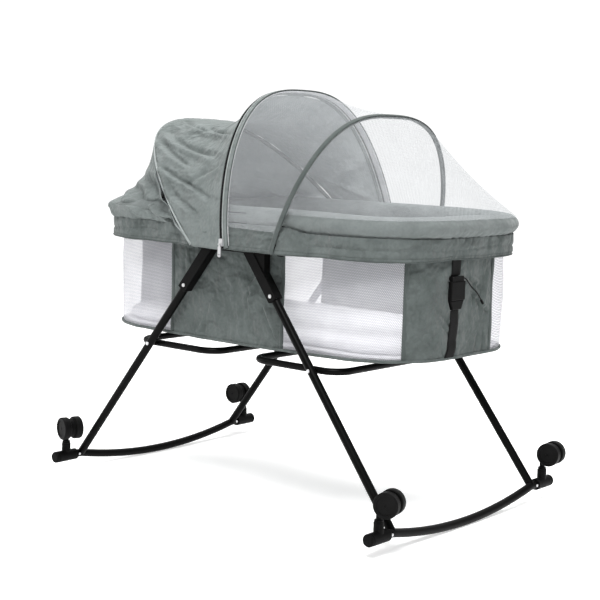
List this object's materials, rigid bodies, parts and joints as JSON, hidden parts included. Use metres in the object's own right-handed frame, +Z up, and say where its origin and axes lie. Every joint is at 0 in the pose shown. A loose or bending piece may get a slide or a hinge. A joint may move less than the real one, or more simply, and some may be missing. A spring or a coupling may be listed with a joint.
{
  "type": "rocking bassinet on folding stand",
  "caption": "Soft-sided rocking bassinet with a zipped hood and net, on a folding tube stand with curved rockers and flip-down casters",
  "frame": {"origin": "on the floor, under the middle of the stand", "axes": "+X towards the foot end, -X towards the hood, -Y towards the front side with the zip pull, +Z up"},
  "size_m": [0.8962, 0.6044, 0.7932],
  "materials": {
    "frame_black": "satin",
    "rim_steel": "satin",
    "black_plastic": "fine texture",
    "wheel_rubber": "matte",
    "rivet_steel": "satin",
    "bow_wire": "satin",
    "hood_cloth": "plain weave",
    "side_cloth": "plain weave",
    "pad_cloth": "plain weave over foam",
    "mesh_cloth": "open mesh",
    "net_cloth": "sheer mesh",
    "binding_cloth": "folded tape",
    "zip_tape": "zipper tape",
    "zip_metal": "smooth",
    "webbing": "webbing",
    "board": "fibreboard",
    "mattress_cloth": "quilted"
  },
  "bodies": {
    "bed": {"rim_tube_head": "rim_steel", "rim_tube_foot": "rim_steel", "side_hubs": "black_plastic", "bow_brackets": "black_plastic", "pivot_bolts": "rivet_steel", "rim_pad": "pad_cloth", "rim_skirt": "side_cloth", "front_panel": "side_cloth", "back_panel": "side_cloth", "head_panel": "side_cloth", "foot_panel": "side_cloth", "mesh_windows": "mesh_cloth", "tub_floor": "side_cloth", "floor_board": "board", "mattress": "mattress_cloth", "strap_webbing": "webbing", "strap_buckle": "black_plastic", "strap_hook": "black_plastic", "adjuster_cord": "webbing", "cord_tip": "black_plastic", "hood_back": "hood_cloth", "net_foot": "net_cloth"},
    "head_legs": {"head_leg_front": "frame_black", "head_leg_back": "frame_black", "head_leg_sockets": "black_plastic", "head_rocker": "frame_black", "head_leg_rivets": "rivet_steel", "head_rocker_caps": "black_plastic"},
    "head_loop": {"head_support_loop": "frame_black"},
    "foot_legs": {"foot_leg_front": "frame_black", "foot_leg_back": "frame_black", "foot_leg_sockets": "black_plastic", "foot_rocker": "frame_black", "foot_leg_rivets": "rivet_steel", "foot_rocker_caps": "black_plastic"},
    "foot_loop": {"foot_support_loop": "frame_black"},
    "caster_arm_head_front": {"caster_sleeve_head_front": "black_plastic"},
    "caster_fork_head_front": {"caster_housing_head_front": "black_plastic"},
    "caster_wheel_head_front": {"caster_wheels_head_front": "wheel_rubber"},
    "caster_arm_head_back": {"caster_sleeve_head_back": "black_plastic"},
    "caster_fork_head_back": {"caster_housing_head_back": "black_plastic"},
    "caster_wheel_head_back": {"caster_wheels_head_back": "wheel_rubber"},
    "caster_arm_foot_front": {"caster_sleeve_foot_front": "black_plastic"},
    "caster_fork_foot_front": {"caster_housing_foot_front": "black_plastic"},
    "caster_wheel_foot_front": {"caster_wheels_foot_front": "wheel_rubber"},
    "caster_arm_foot_back": {"caster_sleeve_foot_back": "black_plastic"},
    "caster_fork_foot_back": {"caster_housing_foot_back": "black_plastic"},
    "caster_wheel_foot_back": {"caster_wheels_foot_back": "wheel_rubber"},
    "rear_bow": {"rear_bow": "bow_wire", "rear_bow_feet": "black_plastic", "hood_top": "hood_cloth"},
    "zip_bow": {"zip_bow": "bow_wire", "zip_bow_feet": "black_plastic", "zipper": "zip_tape"},
    "net_bow": {"net_bow": "bow_wire", "net_bow_feet": "black_plastic", "net_front": "net_cloth", "net_binding": "binding_cloth"},
    "zip_slider": {"zip_slider": "zip_metal"},
    "zip_pull": {"zip_pull": "zip_metal"}
  },
  "joints": [
    {"name": "leg_fold", "type": "hinge", "parent": "bed", "child": "head_legs", "pos_m": [-0.022, 0, 0.5285], "axis": [0, -1, 0], "range_deg": [0, 32]},
    {"name": "foot_leg_fold", "type": "hinge", "parent": "bed", "child": "foot_legs", "pos_m": [0.022, 0, 0.5285], "axis": [0, 1, 0], "range_deg": [0, 32]},
    {"name": "head_loop_fold", "type": "hinge", "parent": "head_legs", "child": "head_loop", "pos_m": [-0.20774, 0, 0.288], "axis": [0, -1, 0], "range_deg": [-122, 0]},
    {"name": "foot_loop_fold", "type": "hinge", "parent": "foot_legs", "child": "foot_loop", "pos_m": [0.20774, 0, 0.288], "axis": [0, 1, 0], "range_deg": [-122, 0]},
    {"name": "caster_flip_head_front", "type": "hinge", "parent": "head_legs", "child": "caster_arm_head_front", "pos_m": [-0.405, -0.271, 0.03257], "axis": [0, -1, 0], "range_deg": [0, 180]},
    {"name": "caster_swivel_head_front", "type": "hinge", "parent": "caster_arm_head_front", "child": "caster_fork_head_front", "pos_m": [-0.405, -0.271, 0.06257], "axis": [0, 0, 1], "continuous": true},
    {"name": "wheel_spin_head_front", "type": "hinge", "parent": "caster_fork_head_front", "child": "caster_wheel_head_front", "pos_m": [-0.38761, -0.27566, 0.09407], "axis": [0.2588, 0.9659, 0], "continuous": true},
    {"name": "caster_flip_head_back", "type": "hinge", "parent": "head_legs", "child": "caster_arm_head_back", "pos_m": [-0.405, 0.271, 0.03257], "axis": [0, -1, 0], "range_deg": [0, 180]},
    {"name": "caster_swivel_head_back", "type": "hinge", "parent": "caster_arm_head_back", "child": "caster_fork_head_back", "pos_m": [-0.405, 0.271, 0.06257], "axis": [0, 0, 1], "continuous": true},
    {"name": "wheel_spin_head_back", "type": "hinge", "parent": "caster_fork_head_back", "child": "caster_wheel_head_back", "pos_m": [-0.42297, 0.27194, 0.09407], "axis": [-0.0523, -0.9986, 0], "continuous": true},
    {"name": "caster_flip_foot_front", "type": "hinge", "parent": "foot_legs", "child": "caster_arm_foot_front", "pos_m": [0.405, -0.271, 0.03257], "axis": [0, 1, 0], "range_deg": [0, 180]},
    {"name": "caster_swivel_foot_front", "type": "hinge", "parent": "caster_arm_foot_front", "child": "caster_fork_foot_front", "pos_m": [0.405, -0.271, 0.06257], "axis": [0, 0, 1], "continuous": true},
    {"name": "wheel_spin_foot_front", "type": "hinge", "parent": "caster_fork_foot_front", "child": "caster_wheel_foot_front", "pos_m": [0.42239, -0.26634, 0.09407], "axis": [-0.2588, 0.9659, 0], "continuous": true},
    {"name": "caster_flip_foot_back", "type": "hinge", "parent": "foot_legs", "child": "caster_arm_foot_back", "pos_m": [0.405, 0.271, 0.03257], "axis": [0, 1, 0], "range_deg": [0, 180]},
    {"name": "caster_swivel_foot_back", "type": "hinge", "parent": "caster_arm_foot_back", "child": "caster_fork_foot_back", "pos_m": [0.405, 0.271, 0.06257], "axis": [0, 0, 1], "continuous": true},
    {"name": "wheel_spin_foot_back", "type": "hinge", "parent": "caster_fork_foot_back", "child": "caster_wheel_foot_back", "pos_m": [0.4229, 0.27288, 0.09407], "axis": [-0.1045, 0.9945, 0], "continuous": true},
    {"name": "rear_bow_fold", "type": "hinge", "parent": "bed", "child": "rear_bow", "pos_m": [-0.066, 0, 0.497], "axis": [0, 1, 0], "range_deg": [-10, 0], "deforming": ["hood_back"]},
    {"name": "zip_bow_fold", "type": "hinge", "parent": "rear_bow", "child": "zip_bow", "pos_m": [-0.066, 0, 0.497], "axis": [0, 1, 0], "range_deg": [-26, 0], "deforming": ["hood_top", "zipper"]},
    {"name": "net_bow_fold", "type": "hinge", "parent": "bed", "child": "net_bow", "pos_m": [0.135, 0, 0.497], "axis": [0, 1, 0], "range_deg": [0, 28], "deforming": ["net_front", "net_foot", "net_binding"]},
    {"name": "zip_slide", "type": "slide", "parent": "zip_bow", "child": "zip_slider", "axis": [-0.1662, 0.0851, 0.9824], "range_m": [0, 0.045]},
    {"name": "pull_swing", "type": "hinge", "parent": "zip_slider", "child": "zip_pull", "pos_m": [0.0152, -0.2678, 0.503], "axis": [-1, 0, 0], "range_deg": [-10, 80]}
  ],
  "couplings": [
    {"joint": "foot_leg_fold", "follows": "leg_fold", "ratio": 1},
    {"joint": "head_loop_fold", "follows": "leg_fold", "ratio": -3.8125},
    {"joint": "foot_loop_fold", "follows": "leg_fold", "ratio": -3.8125},
    {"joint": "zip_bow_fold", "follows": "rear_bow_fold", "ratio": 2.6}
  ]
}
